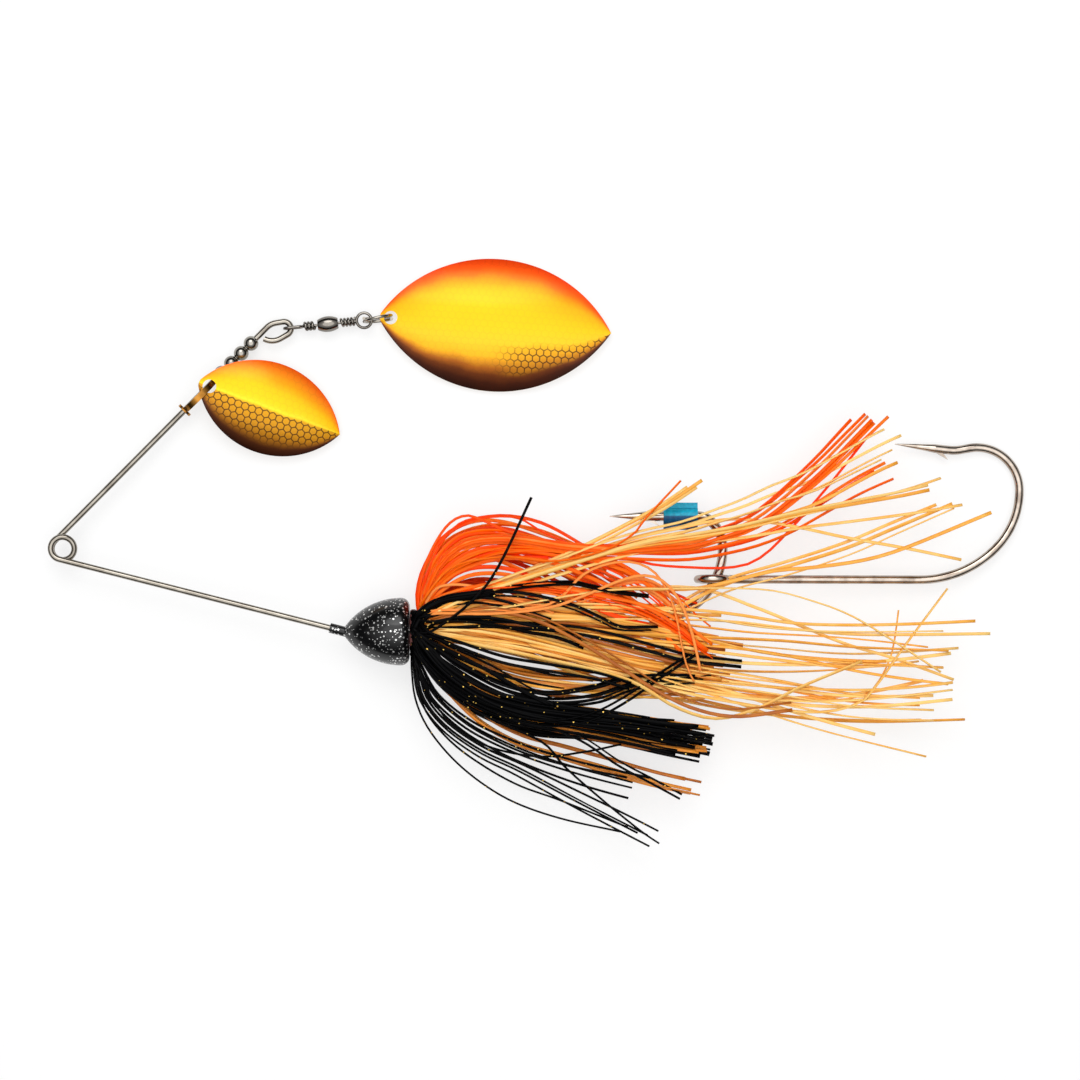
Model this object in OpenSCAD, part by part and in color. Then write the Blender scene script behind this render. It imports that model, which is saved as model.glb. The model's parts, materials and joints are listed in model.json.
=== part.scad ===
// Spinnerbait lure, lying on its side as it would on a table.
// +X runs from the line tie to the tail, +Y towards the blades, +Z up from the table.
// The origin is the centre of the line-tie coil.

/* [Wire frame] */
// Wire diameter of the frame
wire_d = 1.2; // [0.8:0.05:1.5]
// Mean radius of the line-tie coil
coil_r = 2.26; // [1.8:0.02:3.2]
// Gap between the two turns of the line-tie coil
coil_gap = 0.1; // [0.05:0.05:0.5]
// Length of the lower arm from the coil to the head's nose
lower_arm_len = 58.85; // [45:0.05:75]
// Angle of the lower arm below the head's axis
lower_arm_angle = 14.2; // [8:0.1:20]
// Length of the wire buried in the head
wire_in_head = 5.5; // [3:0.5:6]
// Length of the straight upper arm from the coil to the end loop
upper_arm_len = 60.2; // [57:0.1:75]
// Angle of the upper arm above the head's axis
upper_arm_angle = 45.5; // [35:0.5:60]
// Bend radius of the end loop where the swivel hangs
loop_end_r = 1.4; // [1.3:0.05:2]
// How far the lure leans so that its blades come down to the table
lean = 3.2; // [2.5:0.1:3.2]

/* [Head] */
// Largest diameter of the head
head_d = 13.5; // [10:0.1:16]
// Length from the nose to the head's largest diameter
nose_len = 11.3; // [9:0.1:14]
// Radius of the head's rear edge
head_edge_r = 1.7; // [1:0.1:2.4]
// Wall of the painted sleeve on the wire at the nose
sleeve_wall = 0.4; // [0.3:0.05:0.7]
// Length of the painted sleeve on the wire
sleeve_len = 3; // [1:0.5:6]
// Diameter of the neck that carries the skirt
neck_d = 6; // [5:0.1:7]
// Length of the neck behind the head
neck_len = 3.7; // [3.5:0.1:6]

/* [Skirt] */
// Radial thickness of the strand bundle under the collar
hub_wall = 0.6; // [0.5:0.05:0.8]
// Radial thickness of the rubber collar
collar_wall = 0.75; // [0.5:0.05:1.2]
// Width of the rubber collar
collar_w = 1.2; // [0.8:0.1:1.4]
// Width of one strand
strand_w = 0.8; // [0.5:0.05:1.2]
// Thickness of one strand
strand_t = 0.45; // [0.3:0.05:0.6]
// Strands in each orange half
orange_count = 12; // [8:1:18]
// Strands in each tan half
tan_count = 15; // [8:1:20]
// Strands in each black half
black_count = 12; // [8:1:18]
// How far behind the collar the longest strands reach
skirt_len = 114; // [90:1:116]
// How far the black strands spread below the head's axis
skirt_drop = 41; // [30:1:44]
// How far the orange strands arch above the head's axis
skirt_rise = 23; // [18:0.5:24]

/* [Main hook] */
// Wire diameter of the main hook
hook_d = 2; // [1.6:0.05:2.2]
// Shank length behind the head's back face
hook_shank = 41; // [36:0.1:46]
// Radius of the main hook's lower bend
hook_bend_r = 26.3; // [22:0.1:28]
// Radius of the main hook's middle bend
hook_mid_r = 14.3; // [13:0.1:17]
// Radius of the main hook's upper bend
hook_top_r = 7.2; // [7:0.1:10]
// Radius of the turn into the main hook's point
hook_turn_r = 3.5; // [3:0.1:5]
// Straight length between the bend and the barb
hook_spear = 10.5; // [10.4:0.1:12]
// Length of the tapered point
hook_point = 7.3; // [5:0.1:10]
// How far the shank reaches into the head
hook_in_head = 6; // [4:0.5:7]

/* [Trailer hook] */
// Wire diameter of the trailer hook
trailer_d = 1.75; // [1.4:0.05:1.9]
// Mean radius of the trailer hook's eye
trailer_eye_r = 3.03; // [2.9:0.01:3.4]
// Shank length from the eye's centre to the bend
trailer_shank = 41.7; // [34:0.1:48]
// Radius of the trailer hook's lower bend
trailer_bend_r = 22; // [18:0.1:24]
// Radius of the trailer hook's middle bend
trailer_mid_r = 16.6; // [14:0.1:20]
// Radius of the trailer hook's upper bend
trailer_top_r = 8.5; // [7:0.1:10]
// Straight length between the bend and the barb
trailer_spear = 3; // [2:0.1:6]
// Length of the tapered point
trailer_point = 8.2; // [5:0.1:10]
// How far the trailer hook dips towards the table
trailer_dip = 3.7; // [2:0.1:3.9]

/* [Hook stop] */
// Length of the rubber stop along the point
stop_len = 6.8; // [4:0.1:7.3]
// Height of the stop's flat tab
stop_h = 5.4; // [3.6:0.1:5.6]
// Thickness of the stop's flat tab
stop_t = 1.1; // [0.6:0.1:1.8]
// Diameter of the stop's round core
stop_core_d = 3.4; // [2.8:0.1:3.8]

/* [Blades] */
// Length of the large blade
large_len = 47; // [40:0.5:54]
// Width of the large blade
large_w = 26.7; // [22:0.1:30]
// Length of the small blade
small_len = 30.3; // [27:0.1:32]
// Width of the small blade
small_w = 18.4; // [16:0.1:20]
// Sheet thickness of the blades
blade_t = 0.7; // [0.5:0.05:0.8]
// Hole diameter of the blades
blade_hole_d = 2.7; // [2.6:0.05:2.9]
// Material left between the hole and the blade's end
blade_margin = 0.85; // [0.7:0.05:1]
// Lengthwise crown radius of the large blade
large_crown_len = 100; // [90:1:140]
// Crosswise crown radius of the large blade
large_crown_cross = 27; // [24:0.5:34]
// Lengthwise crown radius of the small blade
small_crown_len = 65; // [60:1:90]
// Crosswise crown radius of the small blade
small_crown_cross = 17.6; // [16:0.2:24]
// Swing of the large blade from the swivel's line
large_yaw = 9.9; // [0:0.1:30]
// Angle between the small blade and the upper arm
small_yaw = 65.6; // [50:0.1:75]

/* [Clevis and beads] */
// Where the clevis rides, from the coil along the upper arm
clevis_at = 41; // [38:0.1:41]
// Mean radius of the clevis strap
clevis_r = 4.2; // [4:0.05:4.4]
// Width of the clevis strap
clevis_w = 1.2; // [1:0.05:1.6]
// Thickness of the clevis strap
clevis_t = 0.45; // [0.3:0.05:0.5]
// Diameter of the clevis ears
ear_d = 3; // [2.4:0.1:3.4]
// How far the clevis rolls over so that the small blade lies down
clevis_roll = 11; // [5:0.5:11]
// Where the blade hole sits round the strap from its crown
strap_angle = 40; // [36:1:46]
// Bead diameter
bead_d = 3; // [2.5:0.05:3]
// Distance between bead centres
bead_pitch = 2.8; // [2.8:0.05:3]
// Where the last bead sits, from the coil along the upper arm
last_bead_at = 55.7; // [55:0.1:56]

/* [Swivel and split ring] */
// Wire diameter of the swivel's eyes
eye_d = 0.6; // [0.5:0.05:0.65]
// Half width of the swivel's front eye
front_eye_r = 1.1; // [1.1:0.02:1.3]
// Straight length of the front eye
front_eye_run = 1.6; // [1.4:0.1:2.5]
// Mean radius of the swivel's rear eye
rear_eye_r = 1.5; // [1.45:0.02:1.7]
// Barrel length
barrel_len = 4.1; // [3.5:0.1:5]
// Barrel diameter
barrel_d = 3.2; // [2.8:0.1:3.4]
// Barrel wall thickness
barrel_wall = 0.45; // [0.35:0.05:0.5]
// Mean radius of the wire wraps on each eye's stem
wrap_r = 0.66; // [0.66:0.01:0.75]
// Gap between the wire wraps on each eye's stem
wrap_gap = 0.1; // [0.05:0.01:0.2]
// Full turns wrapped on the front eye's stem
front_wraps = 3; // [2:1:4]
// Full turns wrapped on the rear eye's stem
rear_wraps = 4; // [2:1:4]
// Angle of the swivel in the lure's plane
swivel_angle = 5.9; // [0:0.1:10]
// Outer diameter of the split ring
ring_d = 6.2; // [6:0.1:6.4]
// Wire diameter of the split ring
ring_wire = 0.62; // [0.5:0.01:0.66]
// Gap between the split ring's two coils
ring_gap = 0.06; // [0.03:0.01:0.15]

/* [Clearances] */
// Radial running clearance of beads and clevis on the wire
run_clear = 0.08; // [0.03:0.01:0.1]
// Radial running clearance of the swivel's stems in the barrel
swivel_clear = 0.05; // [0.03:0.01:0.1]
// Radial clearance of the rubber stop on the hook
stop_clear = 0.04; // [0.02:0.01:0.1]
// Radial gap between neck, strands and collar
skirt_gap = 0.05; // [0.03:0.01:0.1]
// Space between wire wraps and the barrel, and between links
link_gap = 0.35; // [0.2:0.05:0.5]

/* [Hidden] */
$fn = 48;

// Wire pieces join by a short lap of one inside the next, which is a hair thicker
lap = 0.05;
lap_extra = 0.01;

// Wire frame: tangent points on the coil, and the layers of its two turns
coil_step = wire_d + coil_gap;
layer = coil_step / 2;
lower_at = coil_r * [-sin(lower_arm_angle), -cos(lower_arm_angle)];
upper_at = coil_r * [-sin(upper_arm_angle), cos(upper_arm_angle)];
nose_at = lower_at + lower_arm_len * [cos(lower_arm_angle), -sin(lower_arm_angle)];
coil_flat = (360 - lower_arm_angle - upper_arm_angle) / 2;
coil_turn = (upper_arm_angle - lower_arm_angle) / 2 - 90;

// End loop of the upper arm, as bends to the right and straight runs
loop_lead_r = 3.2;
loop_lead_turn = 36;
loop_top_run = 1.5;
loop_end_turn = 159.5;
loop_back_run = 1.6;
loop_tail_r = 3.4;
loop_tail_turn = 58;
loop_steps = [
    [upper_arm_len, 0], [loop_lead_r, -loop_lead_turn], [loop_top_run, 0],
    [loop_end_r, -loop_end_turn], [loop_back_run, 0], [loop_tail_r, -loop_tail_turn]
];

// Head: its axis starts where the lower arm ends
head_at = nose_at[0];
axis_v = nose_at[1];
head_r = head_d / 2;
sleeve_d = wire_d + 2 * sleeve_wall;
nose_under = 0.1;
nose_r = sleeve_d / 2 - nose_under;
ogive_rise = head_r - nose_r;
ogive_r = (nose_len * nose_len + ogive_rise * ogive_rise) / (2 * ogive_rise);
head_len = nose_len + head_edge_r;
back_at = head_at + head_len;
neck_r = neck_d / 2;

// Main hook: shank, three bends, turn into the point, straight spear
hook_start = back_at - hook_in_head;
hook_bend_turn = 37;
hook_top_turn = 50;
hook_steps = [
    [hook_in_head + hook_shank, 0], [hook_bend_r, hook_bend_turn], [hook_mid_r, 90 - hook_bend_turn],
    [hook_top_r, hook_top_turn], [hook_turn_r, 90 - hook_top_turn], [hook_spear, 0]
];
top_step = 3;
spear_step = 5;
bend_centre = path_end(hook_steps, [hook_start, axis_v], 0, top_step) - [hook_mid_r, 0];
spear_start = path_end(hook_steps, [hook_start, axis_v], 0, spear_step);
barb_len = 2.8;
barb_rise = 1.05;
barb_root = 0.6;
barb_thick_share = 0.4;
barb_depth_share = 0.25;
tip_d = 0.16;

// Trailer hook: its eye hangs where the main hook's bend leans by eye_lean
eye_lean = 26;
eye_slack = 0.55;
trailer_at = bend_centre + hook_mid_r * [cos(eye_lean), -sin(eye_lean)] - [eye_slack, 0];
eye_under = 0.1;
trailer_eye_d = trailer_d - eye_under;
trailer_start = trailer_eye_r - trailer_d / 4;
hump_run = 2;
hump_r = 8;
hump_turn = 16;
trailer_steps = [
    [trailer_shank - trailer_start, 0], [trailer_bend_r, 45], [trailer_mid_r, 45],
    [trailer_top_r, 100], [hump_run, 0], [hump_r, -hump_turn], [trailer_spear, 0]
];

// Rubber stop: behind the barb, clear of the turn into the bend
stop_set_back = 0.2;
stop_from = spear_start[0] - stop_set_back - stop_len;

// Skirt: the strands leave a hub on the neck, behind the collar
hub_in = neck_r + skirt_gap;
hub_out = hub_in + hub_wall;
hub_set_back = 0.2;
hub_end_gap = 0.4;
hub_from = back_at + hub_set_back;
hub_to = back_at + neck_len - hub_end_gap;
hub_slices = 8;
hub_skin = 0.2;
hub_inset = 0.05;
collar_set_back = 0.15;
collar_from = back_at + collar_set_back;
collar_in = hub_out + skirt_gap;
root_r = hub_in + hub_wall / 2;
root_gap = 0.15;
root_from = collar_from + collar_w + root_gap + strand_w / 2;
root_span = hub_to - strand_w / 2 - root_from;
strand_steps = 7;
stagger_rows = 3;
stagger = 0.07;
near = 1;
far = -1;

// Each colour lies in its own layer beside the hook: distance from the hook, first and last root angle
orange_lay = [3, 14, 58];
tan_lay = [3.75, 64, 116];
black_lay = [4.5, 165, 123];

// Curves of the strands: distance behind the head and height over its axis at three control points,
// from the foremost strand (t = 0) to the rearmost (t = 1)
orange_shape = function (t) [
    [2.5 + 2 * t, skirt_rise * (1.26 - 0.79 * t)],
    [22.5 + 3 * t, skirt_rise * (1.34 - 0.95 * t)],
    [52.5 + 6 * t, skirt_rise * (0.6 - 1.04 * t)]
];
tan_shape = function (t) [
    [12, 3 - 6 * t],
    [55, 1 - 14 * t],
    [skirt_len - 14 * t * t, 7 - 31 * t]
];
black_shape = function (t) [
    [3 + 4 * t, -20 + 12 * t],
    [18 + 4 * t, -12 - 0.6 * skirt_drop * (1 - t)],
    [42 + 22 * t, -skirt_drop + (skirt_drop - 7) * t]
];

// Beads and clevis on the upper arm
bead_hole_r = wire_d / 2 + run_clear;
ear_extra = 0.1;
ear_t = clevis_t + ear_extra;

// Blades
blade_hole_r = blade_hole_d / 2;
blade_end_r = blade_hole_r + blade_margin;

// Swivel: places along its line, measured from the centre of the end loop's bend
loop_end_step = 3;
loop_end_at = path_end(loop_steps, upper_at, upper_arm_angle, loop_end_step);
loop_end_heading = upper_arm_angle - loop_lead_turn;
loop_centre = loop_end_at + loop_end_r * [sin(loop_end_heading), -cos(loop_end_heading)];
front_eye_half = [[front_eye_run, 0], [front_eye_r, 180]];
front_eye_steps = concat(front_eye_half, front_eye_half);
loop_play = 0.07;
wrap_lead = 0.2;
eye_lead = 0.3;
wrap_pitch = eye_d + wrap_gap;
front_eye_from = front_eye_r + loop_play;
front_stem_from = front_eye_from + front_eye_run + front_eye_r;
front_wrap_from = front_stem_from + wrap_lead;
barrel_from = front_wrap_from + front_wraps * wrap_pitch + eye_d / 2 + link_gap;
barrel_mid = barrel_from + barrel_len / 2;
barrel_to = barrel_from + barrel_len;
rear_wrap_from = barrel_to + link_gap + eye_d / 2;
rear_stem_to = rear_wrap_from + rear_wraps * wrap_pitch + eye_lead;
rear_eye_at = rear_stem_to + rear_eye_r;
stem_under = 0.03;
stem_r = eye_d / 2 - stem_under;
stem_head_r = 0.65;
stem_head_t = 0.6;
stem_head_gap = 0.1;
barrel_end_r = 1.05;
barrel_sag = barrel_d / 2 - barrel_end_r;
barrel_curve_r = (barrel_len * barrel_len / 4 + barrel_sag * barrel_sag) / (2 * barrel_sag);

// Split ring and large blade: how they hang in each other
ring_r = (ring_d - ring_wire) / 2;
ring_step = ring_wire + ring_gap;
ring_flat = 175;
ring_lift = 1.2;
ring_slack = 0.3;
blade_drop = 0.1;
blade_slack = 0.1;
ring_at = rear_eye_at + ring_slack + sqrt(ring_r * ring_r - ring_lift * ring_lift);
large_at = ring_at + sqrt(ring_r * ring_r - pow(ring_lift + blade_drop, 2)) + blade_slack;

// Prints the places and directions that the joints turn about
echo(arm_at = lay(arm_point(clevis_at)), arm_axis = lay([cos(upper_arm_angle), sin(upper_arm_angle), 0]));
echo(small_hole = lay(small_hole()), small_axis = lay(clevis_out()));
echo(loop_centre = swivel_point(0), swivel_axis = [cos(swivel_angle), sin(swivel_angle), 0]);
echo(barrel = swivel_point(barrel_mid), rear_eye = swivel_point(rear_eye_at));
echo(ring = swivel_point(ring_at) + [0, 0, ring_lift]);
echo(ring_axis = [-sin(swivel_angle), cos(swivel_angle), 0]);
echo(large_hole = swivel_point(large_at) - [0, 0, blade_drop]);
echo(trailer_eye = lay([trailer_at[0], trailer_at[1], layer]), trailer_axis = lay([0, 1, 0]));
echo(spear = lay([stop_from + stop_len / 2, spear_start[1], layer]));
echo(beads = [for (i = [0 : 3]) lay(arm_point(last_bead_at - i * bead_pitch))]);

// Turns a point or direction of the lure's own plane into the leaning frame
function lay(p) = [p[0], p[1] * cos(lean) + p[2] * sin(lean), p[2] * cos(lean) - p[1] * sin(lean)];

// A point on the upper arm, measured from the coil
function arm_point(s) = [
    upper_at[0] + s * cos(upper_arm_angle), upper_at[1] + s * sin(upper_arm_angle), -layer
];

// The direction in which the rolled clevis stands out from the wire
function clevis_out() = [
    sin(clevis_roll) * sin(upper_arm_angle), -sin(clevis_roll) * cos(upper_arm_angle), cos(clevis_roll)
];

// The middle of the small blade's hole, on the clevis strap
function small_hole() =
    arm_point(clevis_at + clevis_r * sin(strap_angle)) + clevis_r * cos(strap_angle) * clevis_out();

// A point on the swivel's line, which lies level
function swivel_point(s) =
    lay([loop_centre[0], loop_centre[1], -layer]) + s * [cos(swivel_angle), sin(swivel_angle), 0];

// The displacement along a bend of radius r that turns by a from a heading
function bend_move(r, a, heading) =
    sign(a) * r * [sin(heading + a) - sin(heading), cos(heading) - cos(heading + a)];

// Where a run of straight and bent steps ends, from its step i up to its step count
function path_end(steps, at, heading, count, i = 0) =
    i >= count ? at
    : steps[i][1] == 0
    ? path_end(steps, at + steps[i][0] * [cos(heading), sin(heading)], heading, count, i + 1)
    : path_end(steps, at + bend_move(steps[i][0], steps[i][1], heading), heading + steps[i][1], count, i + 1);

// A point on a cubic curve through four control points
function cubic(p, t) =
    pow(1 - t, 3) * p[0] + 3 * t * pow(1 - t, 2) * p[1] + 3 * t * t * (1 - t) * p[2] + t * t * t * p[3];

// The angle that a length spans on a radius
function arc_angle(length, r) = length / r * 180 / PI;

// A straight round wire from the origin along +X, lengthened by more at both ends
module straight_wire(length, d, more = 0) {
    translate([-more, 0, 0])
        rotate([0, 90, 0])
            cylinder(d = d, h = length + 2 * more);
}

// A bent round wire from the origin, starting along +X and turning left or, if a is negative, right
module bent_wire(r, a, d, more = 0) {
    extra = arc_angle(more, r);
    mirror([0, a < 0 ? 1 : 0, 0])
        translate([0, r, 0])
            rotate([0, 0, -90 - extra])
                rotate_extrude(angle = abs(a) + 2 * extra)
                    translate([r, 0])
                        circle(d = d);
}

// A wire that follows steps of [length, 0] or [radius, turn], with children at its end
module wire_run(steps, d, i = 0) {
    if (i < len(steps)) {
        step = steps[i];
        end = path_end(steps, [0, 0], 0, i + 1, i);
        thick = i % 2;
        piece_d = d + thick * lap_extra;
        piece_lap = (1 - thick) * lap;
        if (step[1] == 0)
            straight_wire(step[0], piece_d, piece_lap);
        else
            bent_wire(step[0], step[1], piece_d, piece_lap);
        translate([end[0], end[1], 0])
            rotate([0, 0, step[1]])
                wire_run(steps, d, i + 1)
                    children();
    } else {
        children();
    }
}

// Half a turn of wire round the Z axis that climbs by rise
module climbing_half(r, rise, d, more = 0) {
    tilt = atan(rise / 2 / r);
    extra = arc_angle(more, r);
    rotate([0, tilt, 0])
        rotate([0, 0, -extra])
            rotate_extrude(angle = 180 + 2 * extra)
                translate([r / cos(tilt), 0])
                    circle(d = d);
}

// Two flat arcs of wire in two layers, joined by half a climbing turn
module two_layer_coil(r, step, flat, d) {
    climbing_half(r, step, d, lap);
    for (top = [0, 1])
        translate([0, 0, (top - 0.5) * step])
            rotate([0, 0, top ? 180 : -flat])
                rotate_extrude(angle = flat)
                    translate([r, 0])
                        circle(d = d + lap_extra);
}

// Wire wound round the Z axis as one unbroken run of climbing half turns
module winding(r, pitch, turns, d) {
    for (i = [0 : 2 * turns - 1])
        translate([0, 0, (i + 0.5) * pitch / 2])
            rotate([0, 0, 180 * i])
                climbing_half(r, pitch / 2, d);
}

// Tapered hook point with its barb on the inner side, from the origin along +X
module point_and_barb(d, length) {
    rotate([0, 90, 0])
        cylinder(d1 = d + 2 * lap_extra, d2 = tip_d, h = length);
    depth = d * barb_depth_share;
    linear_extrude(height = d * barb_thick_share, center = true)
        polygon([[barb_root, depth], [-barb_len, d / 2 + barb_rise], [-barb_len / 2, depth]]);
}

// Cupped blade with a round-ended hole at the origin and its tip along +X
module blade(length, width, crown_len, crown_cross) {
    rim_r = (length * length + width * width) / (4 * width);
    tip_angle = asin(length / 2 / rim_r);
    middle = length / 2 - blade_end_r / sin(tip_angle);
    crown = middle * middle / (2 * crown_len);
    sweep = 2 * asin(length / crown_len);
    tall = width;
    intersection() {
        translate([middle, 0, crown - crown_len])
            rotate([90, 0, 0])
                rotate([0, 0, 90 - sweep / 2])
                    rotate_extrude(angle = sweep)
                        translate([crown_len - crown_cross, 0])
                            difference() {
                                circle(r = crown_cross + blade_t / 2);
                                circle(r = crown_cross - blade_t / 2);
                            }
        intersection_for (side = [-1, 1])
            translate([middle, side * (rim_r - width / 2), -tall / 2])
                cylinder(r = rim_r, h = tall);
        union() {
            translate([0, 0, -tall / 2])
                cylinder(r = blade_end_r, h = tall);
            translate([-blade_end_r * sin(tip_angle), -width, -tall / 2])
                cube([length, 2 * width, tall]);
        }
        difference() {
            translate([-width, -width, -tall / 2])
                cube([length + 2 * width, 2 * width, tall]);
            translate([0, 0, -tall])
                cylinder(r = blade_hole_r, h = 2 * tall);
        }
    }
}

// One flat four-sided strand along a curve with four control points
module strand(control) {
    path = [for (i = [0 : strand_steps]) cubic(control, i / strand_steps)];
    corners = [
        for (i = [0 : strand_steps])
            let (
                ahead = path[min(i + 1, strand_steps)] - path[max(i - 1, 0)],
                across = [-ahead[1], ahead[0], 0] / norm([ahead[0], ahead[1]]) * strand_w / 2,
                up = [0, 0, strand_t / 2]
            )
                each [for (corner = [-across - up, across - up, across + up, -across + up]) path[i] + corner]
    ];
    last = 4 * strand_steps;
    sides = [
        for (i = [0 : strand_steps - 1], k = [0 : 3])
            let (a = 4 * i + k, b = 4 * i + (k + 1) % 4)
                each [[a, a + 4, b], [b, a + 4, b + 4]]
    ];
    ends = [[0, 1, 2], [0, 2, 3], [last, last + 2, last + 1], [last, last + 3, last + 2]];
    polyhedron(points = corners, faces = concat(sides, ends));
}

// The slice of the strand bundle under the collar, from one root angle to another
module hub_slice(first, last) {
    for (i = [0 : hub_slices - 1])
        let (inset = hub_inset * (i % 2))
            hull()
                for (k = [i, i + 1])
                    rotate([first + (last - first) * k / hub_slices, 0, 0])
                        translate([hub_from + inset, hub_in + inset, -hub_skin / 2])
                            cube([hub_to - hub_from - 2 * inset, hub_wall - 2 * inset, hub_skin]);
}

// Where the strand at t of a layer leaves the hub
function root_at(t, lay_out, side) =
    let (a = lay_out[1] + (lay_out[2] - lay_out[1]) * t)
        [root_from + root_span * t, axis_v + root_r * cos(a), layer + side * root_r * sin(a)];

// A point of the skirt: distance behind the head, height over its axis, distance beside the hook
function skirt_point(back, rise, beside) = [back_at + back, axis_v + rise, layer + beside];

// One colour of strands on one side of the hook, each with its own curve
module strand_layer(count, lay_out, shape, side) {
    in_lure_plane() {
        translate([0, axis_v, layer])
            mirror([0, 0, side < 0 ? 1 : 0])
                hub_slice(lay_out[1], lay_out[2]);
        for (i = [0 : count - 1])
            let (t = i / (count - 1), beside = side * (lay_out[0] + stagger * (i % stagger_rows)))
                strand(concat([root_at(t, lay_out, side)], [
                    for (p = shape(t))
                        skirt_point(p[0], p[1], beside)
                ]));
    }
}

// Places a piece of the lure's own plane in the leaning frame
module in_lure_plane() {
    rotate([-lean, 0, 0])
        children();
}

// Places a piece on the upper arm, with +X along the arm
module on_upper_arm(s) {
    in_lure_plane()
        translate(arm_point(s))
            rotate([0, 0, upper_arm_angle])
                children();
}

// Places a piece on the swivel's line, with +X along the swivel
module on_swivel(s) {
    translate(swivel_point(s))
        rotate([0, 0, swivel_angle])
            children();
}

module wire_frame() {
    color("silver")
        in_lure_plane() {
            rotate([0, 0, coil_turn])
                two_layer_coil(coil_r, coil_step, coil_flat, wire_d);
            translate([lower_at[0], lower_at[1], layer])
                rotate([0, 0, -lower_arm_angle])
                    straight_wire(lower_arm_len + wire_in_head, wire_d, lap);
            translate(arm_point(0))
                rotate([0, 0, upper_arm_angle])
                    wire_run(loop_steps, wire_d);
        }
}

// Half section of the head: distance from the axis and distance behind the nose
module head_section() {
    intersection() {
        translate([head_r - ogive_r, nose_len])
            circle(r = ogive_r);
        square([head_r, nose_len]);
    }
    translate([0, nose_len])
        square([head_r - head_edge_r, head_edge_r]);
    intersection() {
        translate([head_r - head_edge_r, nose_len])
            circle(r = head_edge_r);
        translate([head_r - head_edge_r, nose_len])
            square(head_edge_r);
    }
    translate([0, head_len])
        square([neck_r, neck_len]);
}

module head() {
    color("#16161a")
        in_lure_plane()
            difference() {
                union() {
                    translate([head_at, axis_v, layer])
                        rotate([0, 90, 0])
                            rotate_extrude()
                                head_section();
                    translate([head_at, axis_v, layer])
                        rotate([0, 0, -lower_arm_angle])
                            translate([-sleeve_len, 0, 0])
                                straight_wire(sleeve_len + nose_r, sleeve_d);
                }
                translate([lower_at[0], lower_at[1], layer])
                    rotate([0, 0, -lower_arm_angle])
                        straight_wire(lower_arm_len + wire_in_head, wire_d, lap);
                translate([hook_start, axis_v, layer])
                    straight_wire(head_len + neck_len, hook_d, lap);
            }
}

module main_hook() {
    color("gainsboro")
        in_lure_plane()
            translate([hook_start, axis_v, layer])
                wire_run(hook_steps, hook_d)
                    point_and_barb(hook_d, hook_point);
}

module skirt_collar() {
    bevel = collar_wall / 3;
    color("#c8a89c")
        in_lure_plane()
            translate([collar_from, axis_v, layer])
                rotate([0, 90, 0])
                    rotate_extrude()
                        translate([collar_in, 0])
                            polygon([
                                [0, 0], [collar_wall - bevel, 0], [collar_wall, bevel],
                                [collar_wall, collar_w - bevel], [collar_wall - bevel, collar_w],
                                [0, collar_w]
                            ]);
}

module skirt_orange(side) {
    color("#ff5a0a")
        strand_layer(orange_count, orange_lay, orange_shape, side);
}

module skirt_tan(side) {
    color("#f0b050")
        strand_layer(tan_count, tan_lay, tan_shape, side);
}

module skirt_black(side) {
    color("#101012")
        strand_layer(black_count, black_lay, black_shape, side);
}

module hook_stop() {
    color("#00a0c0")
        in_lure_plane()
            translate([stop_from, spear_start[1], layer])
                difference() {
                    union() {
                        straight_wire(stop_len, stop_core_d);
                        translate([0, -stop_h / 2, -stop_t / 2])
                            cube([stop_len, stop_h, stop_t]);
                    }
                    translate([-stop_len / 2, 0, 0])
                        straight_wire(2 * stop_len, hook_d + 2 * stop_clear);
                }
}

module trailer_hook() {
    color("gainsboro")
        in_lure_plane()
            translate([trailer_at[0], trailer_at[1], layer])
                rotate([0, trailer_dip, 0]) {
                    rotate([90, 0, 0])
                        rotate_extrude()
                            translate([trailer_eye_r, 0])
                                circle(d = trailer_eye_d);
                    translate([trailer_start, 0, 0])
                        wire_run(trailer_steps, trailer_d)
                            point_and_barb(trailer_d, trailer_point);
                }
}

module clevis() {
    color("#b07830")
        on_upper_arm(clevis_at)
            rotate([clevis_roll, 0, 0])
                difference() {
                    union() {
                        rotate([90, 0, 0])
                            rotate_extrude(angle = 180)
                                translate([clevis_r, 0])
                                    square([clevis_t, clevis_w], center = true);
                        for (side = [-1, 1])
                            translate([side * clevis_r - ear_t / 2, 0, 0])
                                straight_wire(ear_t, ear_d);
                    }
                    translate([-2 * clevis_r, 0, 0])
                        straight_wire(4 * clevis_r, 2 * bead_hole_r);
                }
}

module small_blade() {
    color("#f0c020")
        on_upper_arm(clevis_at)
            rotate([clevis_roll, 0, 0])
                translate([clevis_r * sin(strap_angle), 0, clevis_r * cos(strap_angle)])
                    rotate([0, 0, -small_yaw])
                        blade(small_len, small_w, small_crown_len, small_crown_cross);
}

// Bead i, counted from the end loop
module bead(i) {
    color("silver")
        on_upper_arm(last_bead_at - (i - 1) * bead_pitch)
            difference() {
                sphere(d = bead_d);
                translate([-bead_d, 0, 0])
                    straight_wire(2 * bead_d, 2 * bead_hole_r);
            }
}

// Stem of a swivel eye from its barrel end, with its head held inside the barrel
module swivel_stem(length) {
    straight_wire(length + stem_head_t, stem_r * 2);
    straight_wire(stem_head_t, stem_head_r * 2);
}

module swivel_front_eye() {
    head_at = barrel_from + barrel_wall + stem_head_gap;
    color("#70706c")
        on_swivel(0) {
            rotate([90, 0, 0])
                translate([front_eye_from, -front_eye_r, 0])
                    wire_run(front_eye_steps, eye_d);
            translate([front_wrap_from, 0, 0])
                rotate([0, 90, 0])
                    winding(wrap_r, wrap_pitch, front_wraps, eye_d);
            translate([head_at + stem_head_t, 0, 0])
                mirror([1, 0, 0])
                    swivel_stem(head_at - front_stem_from);
        }
}

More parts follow.
